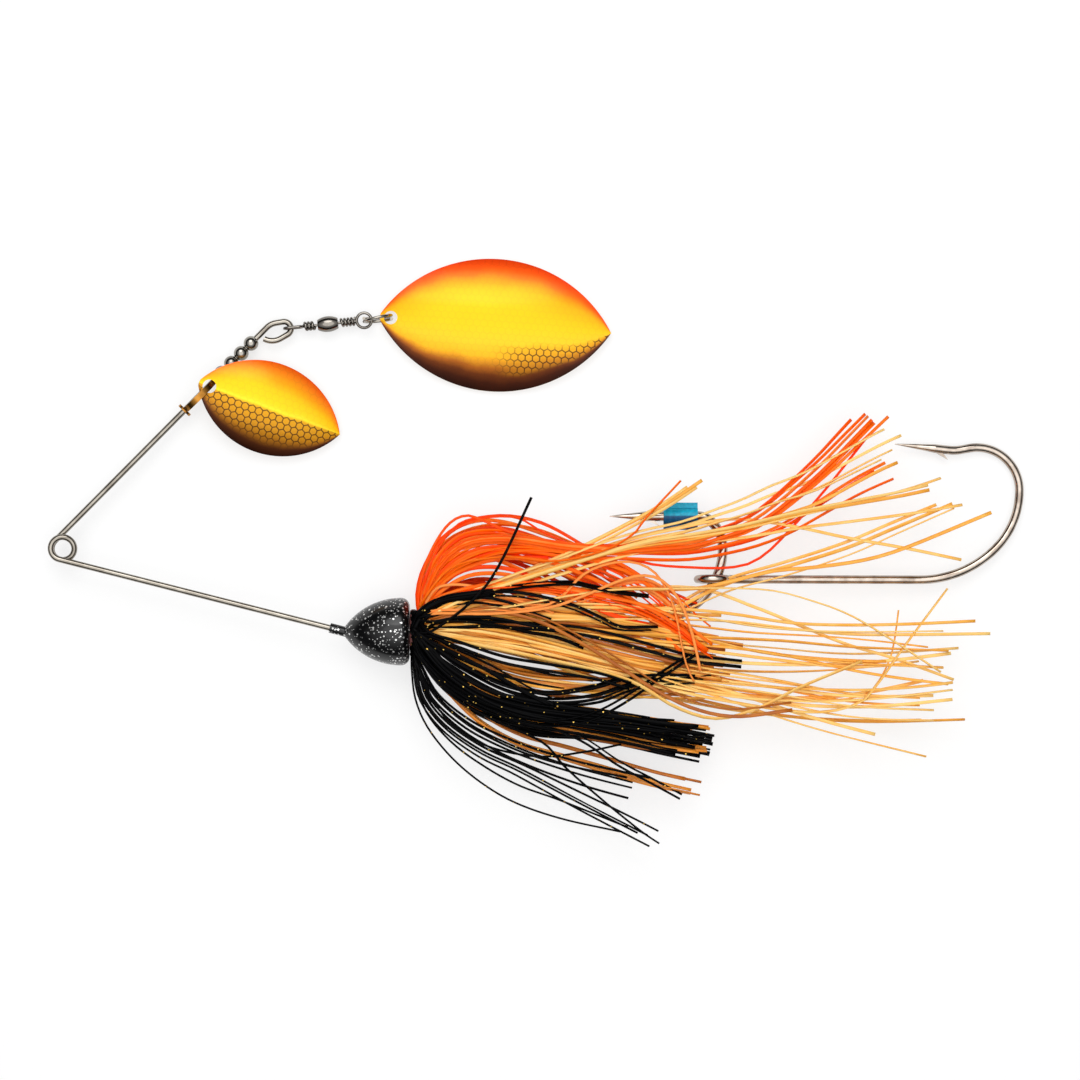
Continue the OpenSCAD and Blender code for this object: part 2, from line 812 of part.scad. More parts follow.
// Half section of the barrel's outside, or of its hollow if set in by the wall
module barrel_section(inset) {
    half = barrel_len / 2 - inset;
    intersection() {
        translate([barrel_d / 2 - barrel_curve_r, 0])
            circle(r = barrel_curve_r - inset);
        translate([0, -half])
            square([barrel_d, 2 * half]);
    }
}

module swivel_barrel() {
    color("#5c5c58")
        on_swivel(barrel_mid)
            difference() {
                rotate([0, 90, 0])
                    rotate_extrude()
                        difference() {
                            barrel_section(0);
                            barrel_section(barrel_wall);
                        }
                translate([-barrel_len, 0, 0])
                    straight_wire(2 * barrel_len, 2 * (stem_r + swivel_clear));
            }
}

module swivel_rear_eye() {
    head_at = barrel_to - barrel_wall - stem_head_gap;
    color("#70706c")
        on_swivel(0) {
            translate([rear_eye_at, 0, 0])
                rotate_extrude()
                    translate([rear_eye_r, 0])
                        circle(d = eye_d);
            translate([rear_wrap_from, 0, 0])
                rotate([0, 90, 0])
                    rotate([0, 0, 90])
                        winding(wrap_r, wrap_pitch, rear_wraps, eye_d);
            translate([head_at - stem_head_t, 0, 0])
                swivel_stem(rear_stem_to - head_at);
        }
}

module split_ring() {
    color("#a0a0a0")
        on_swivel(ring_at)
            translate([0, 0, ring_lift])
                rotate([90, 0, 0])
                    two_layer_coil(ring_r, ring_step, ring_flat, ring_wire);
}

module large_blade() {
    color("#f0c020")
        on_swivel(large_at)
            translate([0, 0, -blade_drop])
                rotate([0, 0, -large_yaw])
                    blade(large_len, large_w, large_crown_len, large_crown_cross);
}

wire_frame();
head();
main_hook();
skirt_collar();
skirt_orange(near);  // skirt_orange_near
skirt_orange(far);  // skirt_orange_far
skirt_tan(near);  // skirt_tan_near
skirt_tan(far);  // skirt_tan_far
skirt_black(near);  // skirt_black_near
skirt_black(far);  // skirt_black_far
hook_stop();
trailer_hook();
clevis();
small_blade();
bead(1);  // bead_1
bead(2);  // bead_2
bead(3);  // bead_3
bead(4);  // bead_4
swivel_front_eye();
swivel_barrel();
swivel_rear_eye();
split_ring();
large_blade();
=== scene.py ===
"""Spinnerbait lying on its side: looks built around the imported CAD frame, in metres."""

import json
import math

import bpy
import numpy as np
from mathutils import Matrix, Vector


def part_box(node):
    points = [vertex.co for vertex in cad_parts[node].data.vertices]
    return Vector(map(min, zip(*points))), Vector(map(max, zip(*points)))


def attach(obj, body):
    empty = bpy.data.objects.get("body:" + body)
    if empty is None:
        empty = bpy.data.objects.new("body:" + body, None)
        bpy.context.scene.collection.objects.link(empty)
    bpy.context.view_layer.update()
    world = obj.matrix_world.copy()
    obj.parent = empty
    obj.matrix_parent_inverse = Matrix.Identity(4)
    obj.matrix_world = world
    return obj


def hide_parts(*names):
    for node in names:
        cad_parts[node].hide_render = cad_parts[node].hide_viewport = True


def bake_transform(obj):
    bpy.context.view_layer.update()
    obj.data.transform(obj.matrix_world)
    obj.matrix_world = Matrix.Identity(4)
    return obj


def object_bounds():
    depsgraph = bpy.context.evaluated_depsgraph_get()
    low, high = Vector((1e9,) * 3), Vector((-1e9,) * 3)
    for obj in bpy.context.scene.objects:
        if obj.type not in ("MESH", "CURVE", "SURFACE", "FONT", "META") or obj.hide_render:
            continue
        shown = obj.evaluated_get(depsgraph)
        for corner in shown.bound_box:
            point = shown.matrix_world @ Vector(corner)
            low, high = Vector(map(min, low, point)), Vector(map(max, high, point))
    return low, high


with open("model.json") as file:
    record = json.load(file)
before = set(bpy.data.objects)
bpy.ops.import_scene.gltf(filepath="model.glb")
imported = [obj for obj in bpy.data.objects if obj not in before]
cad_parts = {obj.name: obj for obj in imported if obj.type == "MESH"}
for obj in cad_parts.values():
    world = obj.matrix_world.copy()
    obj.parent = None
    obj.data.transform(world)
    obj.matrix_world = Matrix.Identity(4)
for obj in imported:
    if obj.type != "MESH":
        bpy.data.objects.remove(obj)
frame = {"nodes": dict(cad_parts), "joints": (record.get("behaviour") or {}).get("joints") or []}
cad_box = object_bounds()

MM = 0.001
SEED = 7

# Photograph: its width shows this much of the lure, centred on this point of the frame
VIEW_WIDTH = 216 * MM
VIEW_CENTRE = Vector((95.5, 1.7, 0)) * MM
CAMERA_HEIGHT = 600 * MM
SENSOR = 36

# Sky brightness at rising heights, dark near the horizon so that bright metal keeps its outline
SKY = ((0.0, 0.02), (0.42, 0.03), (0.68, 0.55), (0.9, 1.0))

# Share of plain white in the table as the camera and the metal see it, so that shadows stay pale,
# and half of the table's width
TABLE_GLOW = 0.7
TABLE_HALF = 3.0

# Strand sections, and the least height of a strand's middle over the table
STRAND_THICK = 0.32
STRAND_RINGS = 40
LEAST_RINGS = 6
RING_SIDES = 8
TABLE_GAP = 0.5

# Bevel of a strand's section as a share of half its thickness, and curve steps for each ring
BEVEL_SHARE = 0.55
CURVE_STEPS = 6

# How strands differ: lanes in a clump, radians of wave, width, and radians of roll and twist
LANE_SPREAD = 0.45
WAVE_RANGE = (4, 10)
WIDTH_RANGE = (0.85, 1.1)
ROLL_SPREAD = 0.6
TWIST_SPREAD = 1.1

# Width of one scale painted on the blades
SCALE_PITCH = 1.45

# Numbers of the mix node's two inputs and its output, for each kind of value
MIX_SOCKETS = {"RGBA": (6, 7, 2), "VECTOR": (4, 5, 1)}


def joint(name):
    """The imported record's joint of that name."""
    return next(j for j in frame["joints"] if j["name"] == name)


def srgb(code):
    """A written colour such as ff5a0a as the linear colour that shaders take."""
    parts = [int(code[i:i + 2], 16) / 255 for i in (0, 2, 4)]
    linear = [c / 12.92 if c <= 0.04045 else ((c + 0.055) / 1.055) ** 2.4 for c in parts]
    return (*linear, 1.0)


# The lure's own plane: it leans a little, and the trailer hook's joint gives its upward direction
ALONG = Vector((1, 0, 0))
ABOVE = Vector(joint("trailer_swing")["axis"]).normalized()
OUT = ALONG.cross(ABOVE)
COLLAR = sum(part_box("skirt_collar"), Vector()) / 2
TABLE = cad_box[0][2]


class Graph:
    """A node material with its Principled shader, and short calls that add nodes to it."""

    def __init__(self, name, **shader):
        self.material = bpy.data.materials.new(name)
        self.material.use_nodes = True
        self.nodes = self.material.node_tree.nodes
        self.links = self.material.node_tree.links
        self.shader = self.nodes["Principled BSDF"]
        for socket, value in shader.items():
            self.set(socket.replace("_", " "), value)
        self.coords = self.nodes.new("ShaderNodeTexCoord")
        self.mm = self.scaled(self.coords.outputs["Object"], 1 / MM)

    def put(self, socket, value):
        """Links a socket to another node's output, or sets its plain value."""
        if isinstance(value, bpy.types.NodeSocket):
            self.links.new(value, socket)
        else:
            socket.default_value = value

    def set(self, name, value):
        """Sets or links one of the Principled shader's sockets."""
        self.put(self.shader.inputs[name], value)

    def math(self, operation, a, b=0.0, c=0.0):
        node = self.nodes.new("ShaderNodeMath")
        node.operation = operation
        for socket, value in zip(node.inputs, (a, b, c)):
            self.put(socket, value)
        return node.outputs[0]

    def vector(self, operation, a, b=(0, 0, 0)):
        node = self.nodes.new("ShaderNodeVectorMath")
        node.operation = operation
        self.put(node.inputs[0], a)
        self.put(node.inputs[1], b)
        measured = operation in ("DOT_PRODUCT", "LENGTH", "DISTANCE")
        return node.outputs["Value" if measured else "Vector"]

    def scaled(self, a, factor):
        node = self.nodes.new("ShaderNodeVectorMath")
        node.operation = "SCALE"
        self.put(node.inputs[0], a)
        node.inputs["Scale"].default_value = factor
        return node.outputs["Vector"]

    def fade(self, value, low, high):
        """0 below low, 1 above high, with a smooth step between; low may lie above high."""
        node = self.nodes.new("ShaderNodeMapRange")
        node.interpolation_type = "SMOOTHSTEP"
        self.put(node.inputs["Value"], value)
        swapped = low > high
        node.inputs["From Min"].default_value = min(low, high)
        node.inputs["From Max"].default_value = max(low, high)
        node.inputs["To Min"].default_value = 1.0 if swapped else 0.0
        node.inputs["To Max"].default_value = 0.0 if swapped else 1.0
        return node.outputs["Result"]

    def span(self, value, low, high):
        """A 0 to 1 value spread over the range from low to high."""
        return self.math("MULTIPLY_ADD", value, high - low, low)

    def mix(self, factor, a, b, kind="RGBA"):
        """From a to b as the factor goes from 0 to 1."""
        node = self.nodes.new("ShaderNodeMix")
        node.data_type = kind
        first, second, result = MIX_SOCKETS[kind]
        self.put(node.inputs[0], factor)
        self.put(node.inputs[first], a)
        self.put(node.inputs[second], b)
        return node.outputs[result]

    def ramp(self, factor, *stops):
        """A colour ramp through stops of (place, written colour)."""
        node = self.nodes.new("ShaderNodeValToRGB")
        elements = node.color_ramp.elements
        while len(elements) < len(stops):
            elements.new(0.5)
        for element, (place, code) in zip(elements, stops):
            element.position = place
            element.color = srgb(code)
        self.put(node.inputs[0], factor)
        return node.outputs[0]

    def noise(self, vector, scale, detail=3.0, roughness=0.5):
        node = self.nodes.new("ShaderNodeTexNoise")
        self.put(node.inputs["Vector"], vector)
        node.inputs["Scale"].default_value = scale
        node.inputs["Detail"].default_value = detail
        node.inputs["Roughness"].default_value = roughness
        return node.outputs[0]

    def cells(self, vector, scale):
        """Distance to the nearest cell's middle, and that cell's own random colour."""
        node = self.nodes.new("ShaderNodeTexVoronoi")
        self.put(node.inputs["Vector"], vector)
        node.inputs["Scale"].default_value = scale
        return node.outputs["Distance"], node.outputs["Color"]

    def attribute(self, name):
        node = self.nodes.new("ShaderNodeAttribute")
        node.attribute_name = name
        return node.outputs["Fac"]

    def bump(self, height, strength, depth_mm):
        node = self.nodes.new("ShaderNodeBump")
        self.put(node.inputs["Height"], height)
        node.inputs["Strength"].default_value = strength
        node.inputs["Distance"].default_value = depth_mm * MM
        self.set("Normal", node.outputs[0])

    def flecks(self, scale, size, share):
        """A mask of small round flecks in a share of the cells."""
        distance, colour = self.cells(self.mm, scale)
        chosen = self.math("LESS_THAN", colour, share)
        return self.math("MULTIPLY", chosen, self.fade(distance, size, size * 0.8))


def metal(name, light, dark, roughness, tarnish):
    """Bare or plated metal with faint tarnish, fine wear and an uneven polish."""
    g = Graph(name, Metallic=1.0)
    broad = g.fade(g.noise(g.mm, 0.35, 4.0), 0.35, 0.75)
    fine = g.noise(g.mm, 1.5, 6.0, 0.65)
    stain = g.math("MULTIPLY", broad, tarnish)
    g.set("Base Color", g.mix(stain, srgb(light), srgb(dark)))
    g.set("Roughness", g.span(fine, roughness * 0.6, roughness * 1.5))
    g.bump(fine, 0.12, 0.02)
    return g.material


def head_paint():
    """Gloss black paint full of silver glitter under a clear coat."""
    g = Graph("head_paint", Coat_Weight=0.35, Coat_Roughness=0.08, Specular_IOR_Level=0.25)
    coarse = g.flecks(1.25, 0.28, 0.66)
    fine = g.flecks(2.1, 0.26, 0.5)
    glitter = g.math("MAXIMUM", coarse, fine)
    _, colour = g.cells(g.mm, 1.25)
    fleck = g.ramp(colour, (0.0, "8c8c8c"), (0.5, "e8e8e6"), (1.0, "ffffff"))
    paint = g.ramp(g.noise(g.mm, 0.5), (0.3, "030304"), (0.7, "0a0a0c"))
    g.set("Base Color", g.mix(glitter, paint, fleck))
    g.set("Metallic", g.math("MULTIPLY", glitter, 0.75))
    g.set("Roughness", g.span(glitter, 0.28, 0.34))
    g.bump(g.math("ADD", glitter, g.noise(g.mm, 0.8)), 0.15, 0.03)
    return g.material


def strand_rubber(name, tones, gloss, glitter=None):
    """Silicone strand: tones differ from strand to strand, with fine streaks along each one."""
    g = Graph(name, Subsurface_Weight=0.06, Subsurface_Scale=0.4 * MM, Specular_IOR_Level=gloss)
    g.set("Subsurface Radius", (1.0, 0.5, 0.25))
    shade = g.attribute("strand_shade")
    streaks = g.noise(g.vector("MULTIPLY", g.coords.outputs["UV"], (7.0, 0.16, 1.0)), 1.0, 4.0)
    blotches = g.noise(g.mm, 0.25, 2.0)
    tone = g.math("ADD", shade, g.span(streaks, -0.22, 0.22))
    tone = g.math("ADD", tone, g.span(blotches, -0.2, 0.2))
    colour = g.ramp(tone, *zip((0.05, 0.4, 0.7, 0.98), tones))
    if glitter:
        specks = g.flecks(0.95, 0.17, 0.42)
        colour = g.mix(specks, colour, srgb(glitter))
        g.set("Metallic", g.math("MULTIPLY", specks, 0.8))
    g.set("Base Color", colour)
    g.set("Roughness", g.span(streaks, 0.3, 0.55))
    g.bump(streaks, 0.25, 0.06)
    return g.material


def collar_rubber():
    """Dusty red-brown rubber band with a fine grain."""
    g = Graph("collar_rubber", Subsurface_Weight=0.1, Subsurface_Scale=0.5 * MM)
    grain = g.noise(g.mm, 2.5, 5.0)
    g.set("Base Color", g.ramp(grain, (0.25, "5a3432"), (0.6, "86504c"), (0.9, "a87470")))
    g.set("Roughness", g.span(grain, 0.5, 0.75))
    g.bump(grain, 0.3, 0.06)
    return g.material


def stop_rubber():
    """Blue rubber with moulding grain, painted lit on the upper flap and shaded on the lower one."""
    g = Graph("stop_rubber", Coat_Weight=0.1, Coat_Roughness=0.25, Specular_IOR_Level=0.25)
    middle = sum(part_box("hook_stop"), Vector()) / 2
    height = g.vector("DOT_PRODUCT", g.vector("SUBTRACT", g.mm, middle / MM), ABOVE)
    # Painted shade: the lit blue above the stop's middle, the dark blue of the shaded flap below it
    upper = g.fade(height, -0.15, 0.15)
    grain = g.noise(g.mm, 1.6, 5.0)
    bright = g.ramp(grain, (0.3, "008cb0"), (0.7, "00aed0"))
    dark = g.ramp(grain, (0.3, "003c64"), (0.7, "005a8a"))
    g.set("Base Color", g.mix(upper, dark, bright))
    g.set("Roughness", g.span(grain, 0.32, 0.5))
    g.bump(grain, 0.25, 0.06)
    return g.material


def hexagons(g, across, along, pitch):
    """0 in the middle of each cell of a honeycomb, 0.5 on the lines between the cells."""
    place = g.nodes.new("ShaderNodeCombineXYZ")
    g.put(place.inputs[0], g.math("DIVIDE", along, pitch))
    g.put(place.inputs[1], g.math("DIVIDE", across, pitch))
    cell = (1.0, math.sqrt(3), 1.0)
    half = tuple(c / 2 for c in cell)

    def offset(shift):
        wrapped = g.vector("MODULO", g.vector("ADD", place.outputs[0], shift), cell)
        centred = g.vector("SUBTRACT", wrapped, half)
        return g.vector("ABSOLUTE", g.vector("MULTIPLY", centred, (1, 1, 0)))

    # Whole cells are added so that every place is positive before the remainder is taken
    far_away = tuple(40 * c for c in cell)
    first = offset(far_away)
    second = offset(tuple(f + h for f, h in zip(far_away, half)))
    nearer = g.math("LESS_THAN", g.vector("LENGTH", first), g.vector("LENGTH", second))
    inside = g.mix(nearer, second, first, kind="VECTOR")
    slant = g.vector("DOT_PRODUCT", inside, (0.5, math.sqrt(3) / 2, 0))
    flat = g.vector("DOT_PRODUCT", inside, (1, 0, 0))
    return g.math("MAXIMUM", slant, flat)


def blade_paint(node, joint_name, stops, net_levels, net_run):
    """Sunset paint that follows the blade's outline, netted with scales, bare brass on the back.

    The scales come in between the first two net levels and go out between the last two, and
    net_run says at what shares of the blade's length they begin and are full.
    """
    g = Graph(node + "_paint", Coat_Weight=0.12, Coat_Roughness=0.12, Specular_IOR_Level=0.12)
    hole = Vector(joint(joint_name)["pos_m"])
    normal = Vector(joint(joint_name)["axis"]).normalized()
    points = [v.co for v in frame["nodes"][node].data.vertices]
    tip = max(points, key=lambda p: (p - hole).length)
    lengthwise = tip - hole
    lengthwise = (lengthwise - lengthwise.dot(normal) * normal).normalized()
    crosswise = normal.cross(lengthwise)
    widest = max(points, key=lambda p: (p - hole).dot(crosswise))
    width = 2 * (widest - hole).dot(crosswise) / MM
    rear_end = max((p - hole).dot(lengthwise) / MM for p in points)
    middle = (widest - hole).dot(lengthwise) / MM
    length = 2 * (rear_end - middle)
    rim = (length ** 2 + width ** 2) / (4 * width)

    place = g.vector("SUBTRACT", g.mm, hole / MM)
    along = g.vector("DOT_PRODUCT", place, lengthwise)
    across = g.vector("DOT_PRODUCT", place, crosswise)
    reach = g.math("SUBTRACT", rim ** 2, g.math("POWER", g.math("SUBTRACT", along, middle), 2.0))
    half = g.math("SUBTRACT", g.math("SQRT", reach), rim - width / 2)
    edge = g.math("DIVIDE", across, g.math("MAXIMUM", half, 0.5))
    cloud = g.noise(g.mm, 0.16, 2.0)
    level = g.math("MULTIPLY_ADD", edge, 0.5, g.span(cloud, 0.46, 0.54))
    paint = g.ramp(level, *stops)

    lines = hexagons(g, across, along, SCALE_PITCH)
    net = g.fade(lines, 0.39, 0.46)
    inner, outer, low, lowest = net_levels
    lower = g.math("MULTIPLY", g.fade(level, inner, outer), g.fade(level, lowest, low))
    rear = g.fade(along, rear_end * net_run[0], rear_end * net_run[1])
    shown = g.math("MULTIPLY", lower, rear)
    amber = g.math("MULTIPLY", shown, 0.5)
    paint = g.mix(amber, paint, srgb("d08c0c"))
    paint = g.mix(g.math("MULTIPLY", net, g.span(shown, 0.07, 0.9)), paint, srgb("3a2004"))
    specks = g.flecks(0.8, 0.1, 0.05)
    paint = g.mix(g.math("MULTIPLY", specks, 0.5), paint, srgb("6a3a08"))

    facing = g.vector("DOT_PRODUCT", g.coords.outputs["Normal"], normal)
    front = g.fade(facing, -0.05, 0.1)
    brushed = g.noise(g.vector("MULTIPLY", g.mm, (0.3, 3.0, 3.0)), 1.0, 5.0)
    brass = g.ramp(brushed, (0.3, "b98a3c"), (0.7, "e6c070"))
    g.set("Base Color", g.mix(front, brass, paint))
    g.set("Metallic", g.span(front, 1.0, 0.35))
    g.set("Roughness", g.span(g.noise(g.mm, 0.9, 5.0), 0.25, 0.4))
    g.bump(g.math("ADD", g.math("MULTIPLY", net, 0.6), g.noise(g.mm, 0.6)), 0.08, 0.03)
    return g.material


# Paint of each blade, from its lower edge at 0 to its upper edge at 1
LARGE_STOPS = (
    (0.0, "2c0e04"), (0.06, "461a06"), (0.12, "70340c"), (0.17, "b06014"), (0.21, "dc9014"),
    (0.25, "f8b418"), (0.36, "fcc420"), (0.48, "ffc40c"), (0.6, "ffbc00"), (0.76, "ffaa00"),
    (0.83, "ff9004"), (0.88, "ff7008"), (0.93, "ff5602"), (1.0, "ee3e00"),
)
# The small blade's pale line at 0.51 is a painted highlight along its ridge from hole to tip, where the
# printed net ends
SMALL_STOPS = (
    (0.0, "2c0e04"), (0.08, "4c2208"), (0.18, "8a4a10"), (0.3, "cc8a10"), (0.46, "e4a610"),
    (0.485, "f0b81c"), (0.51, "ffdc28"), (0.56, "ffcc10"), (0.7, "ffbe00"), (0.8, "ffa404"),
    (0.9, "ff8810"), (1.0, "fc5e06"),
)


def paint_nodes(material, *names):
    """Gives CAD nodes their finished material."""
    for name in names:
        mesh = frame["nodes"][name].data
        mesh.materials.clear()
        mesh.materials.append(material)


def smooth_curve(points, count):
    """Evenly spread points on a Catmull-Rom curve through the given points."""
    p = np.vstack([2 * points[0] - points[1], points, 2 * points[-1] - points[-2]])
    result = []
    for s in np.linspace(0, len(points) - 1, CURVE_STEPS * count):
        i = min(int(s), len(points) - 2)
        t = s - i
        a, b, c, d = p[i:i + 4]
        result.append(
            b + 0.5 * t * (c - a + t * (2 * a - 5 * b + 4 * c - d + t * (3 * (b - c) + d - a)))
        )
    result = np.array(result)
    walked = np.concatenate([[0], np.cumsum(np.linalg.norm(np.diff(result, axis=0), axis=1))])
    places = np.linspace(0, walked[-1], count)
    return np.stack([np.interp(places, walked, result[:, k]) for k in range(3)], axis=1)


class StrandPiece:
    """One mesh of many flat strands, in mm behind the collar, above the axis and out of the plane."""

    def __init__(self, name, width, root_span, root_radius):
        self.name = name
        self.width = width
        self.root_span = root_span
        self.root_radius = root_radius
        self.vertices = []
        self.faces = []
        self.uvs = []
        self.shades = []

    def add(self, path, width, roll, twist, shade):
        """One strand along a path, with a bevelled section that starts at a roll and turns by twist."""
        start = len(self.vertices) * RING_SIDES
        ahead = np.gradient(path, axis=0)
        ahead /= np.linalg.norm(ahead, axis=1, keepdims=True)
        across = np.cross(np.array([0, 0, 1.0]), ahead)
        across /= np.linalg.norm(across, axis=1, keepdims=True) + 1e-9
        above = np.cross(ahead, across)
        w, t = width / 2, STRAND_THICK / 2
        corner = BEVEL_SHARE * t
        outline = [
            (w, -t + corner), (w, t - corner), (w - corner, t), (corner - w, t),
            (-w, t - corner), (-w, corner - t), (corner - w, -t), (w - corner, -t),
        ]
        run = np.linalg.norm(path[-1] - path[0])
        for i, centre in enumerate(path):
            s = i / (len(path) - 1)
            turn = roll + twist * s
            side = math.cos(turn) * across[i] + math.sin(turn) * above[i]
            top = math.cos(turn) * above[i] - math.sin(turn) * across[i]
            self.vertices.append([centre + x * side + y * top for x, y in outline])
            self.uvs.append([(k / RING_SIDES, s * run) for k in range(RING_SIDES)])
        self.shades += [shade] * (len(path) * RING_SIDES)
        for i in range(len(path) - 1):
            for k in range(RING_SIDES):
                a = start + i * RING_SIDES + k
                b = start + i * RING_SIDES + (k + 1) % RING_SIDES
                self.faces.append((a, b, b + RING_SIDES, a + RING_SIDES))
        last = start + (len(path) - 1) * RING_SIDES
        self.faces.append(tuple(start + k for k in reversed(range(RING_SIDES))))
        self.faces.append(tuple(last + k for k in range(RING_SIDES)))

    def build(self, material):
        """Makes the mesh object in the part's frame."""
        local = np.array(self.vertices).reshape(-1, 3) * MM
        basis = np.array([ALONG, ABOVE, OUT])
        mesh = bpy.data.meshes.new(self.name)
        mesh.from_pydata((local @ basis + np.array(COLLAR)).tolist(), [], self.faces)
        flat_uvs = np.array(self.uvs).reshape(-1, 2)
        layer = mesh.uv_layers.new(name="strand")
        corners = np.zeros(len(mesh.loops), dtype=np.int32)
        mesh.loops.foreach_get("vertex_index", corners)
        layer.data.foreach_set("uv", flat_uvs[corners].astype(np.float32).ravel())
        shade = mesh.attributes.new("strand_shade", "FLOAT", "POINT")
        shade.data.foreach_set("value", np.array(self.shades, np.float32))
        mesh.shade_smooth()
        mesh.materials.append(material)
        piece = bpy.data.objects.new(self.name, mesh)
        bpy.context.scene.collection.objects.link(piece)
        return piece


def table_height(above):
    """How far out of the lure's plane the table lies, at a height above the head's axis."""
    return (TABLE - COLLAR.z - above * MM * ABOVE.z) / OUT.z / MM


class Tress:
    """Strands that follow one guide curve and fan out beside it, in clumped lanes that drift and cross.

    roots is a range of degrees round the collar, from above towards the camera. fan holds half the
    width at start, middle and tip, and out the ranges of height off the lure's plane at start and tip.
    cut is the largest share taken off a tip, sway the size of waves and drift the change of lanes.
    """

    def __init__(self, count, roots, fan, out, guide, cut=0.12, sway=0.5, drift=0.35,
                 shades=(0.1, 0.9), clump=3, thin=1.0):
        self.count = count
        self.roots = roots
        self.fan = fan
        self.out = out
        self.guide = np.array(guide, float)
        self.cut = cut
        self.sway = sway
        self.drift = drift
        self.shades = shades
        self.clump = clump
        self.thin = thin

    def lanes(self, rng):
        """A lane from about -1 to 1 for each strand, in clumps of a few."""
        if self.count == 1:
            return [0.0]
        clumps = np.linspace(-1, 1, max(self.count // self.clump, 2))
        chosen = np.resize(clumps, self.count)
        return chosen + rng.normal(0, LANE_SPREAD / len(clumps), self.count)

    def grow(self, piece, rng):
        """Adds the strands to a piece, each with its own drift, wave, twist, shade and length."""
        s = np.linspace(0, 1, len(self.guide))
        ahead = np.gradient(self.guide, axis=0)
        beside = np.stack([-ahead[:, 1], ahead[:, 0]], axis=1)
        beside /= np.linalg.norm(beside, axis=1, keepdims=True)
        width = np.interp(s, (0, 0.5, 1), self.fan)
        ramp = np.linspace(0, 1, STRAND_RINGS)
        for lane in self.lanes(rng):
            tip_lane = lane + rng.normal(0, self.drift)
            flat = self.guide + beside * (width * (lane + (tip_lane - lane) * s))[:, None]
            turn = math.radians(rng.uniform(*self.roots))
            side = 1 if math.sin(turn) >= 0 else -1
            level = rng.uniform()
            start_out, tip_out = (low + (high - low) * level for low, high in self.out)
            outs = side * (start_out + (tip_out - start_out) * s)
            outs = np.maximum(outs, [table_height(y) + TABLE_GAP for y in flat[:, 1]])
            radius = piece.root_radius
            root = (rng.uniform(*piece.root_span), radius * math.cos(turn), radius * math.sin(turn))
            path = smooth_curve(np.vstack([root, np.column_stack([flat, outs])]), STRAND_RINGS)
            wave = np.sin(rng.uniform(*WAVE_RANGE) * ramp + rng.uniform(0, 2 * math.pi))
            heading = np.gradient(path[:, :2], axis=0)
            across = np.stack([-heading[:, 1], heading[:, 0]], axis=1)
            across /= np.linalg.norm(across, axis=1, keepdims=True)
            path[:, :2] += across * (self.sway * rng.normal() * ramp ** 0.9 * wave)[:, None]
            left = 1 - self.cut * rng.uniform() ** 1.5
            keep = max(round(left * STRAND_RINGS), LEAST_RINGS)
            piece.add(
                path[:keep],
                width=piece.width * self.thin * rng.uniform(*WIDTH_RANGE),
                roll=rng.normal(0, ROLL_SPREAD),
                twist=rng.normal(0, TWIST_SPREAD),
                shade=rng.uniform(*self.shades),
            )


# Heights off the lure's plane at start and tip: on the hook, over it, over other strands, on top,
# rising to the top, and clear of all
INNER = ((2.0, 3.0), (1.6, 2.8))
OVER = ((2.6, 4.4), (1.8, 3.4))
UPPER = ((3.6, 5.0), (2.6, 4.2))
TOP = ((4.8, 5.8), (4.0, 5.2))
RISING = ((2.4, 3.2), (4.6, 5.4))
CLEAR = ((5.4, 5.8), (6.6, 7.0))

# Roots all round the collar and on the camera's side, the fan of a single line, and two ranges of shade
ALL_ROUND = (0, 360)
NEAR = (20, 160)
LINE = (0.1, 0.1, 0.1)
LIGHT = (0.6, 1.05)
PALE = (0.8, 1.1)
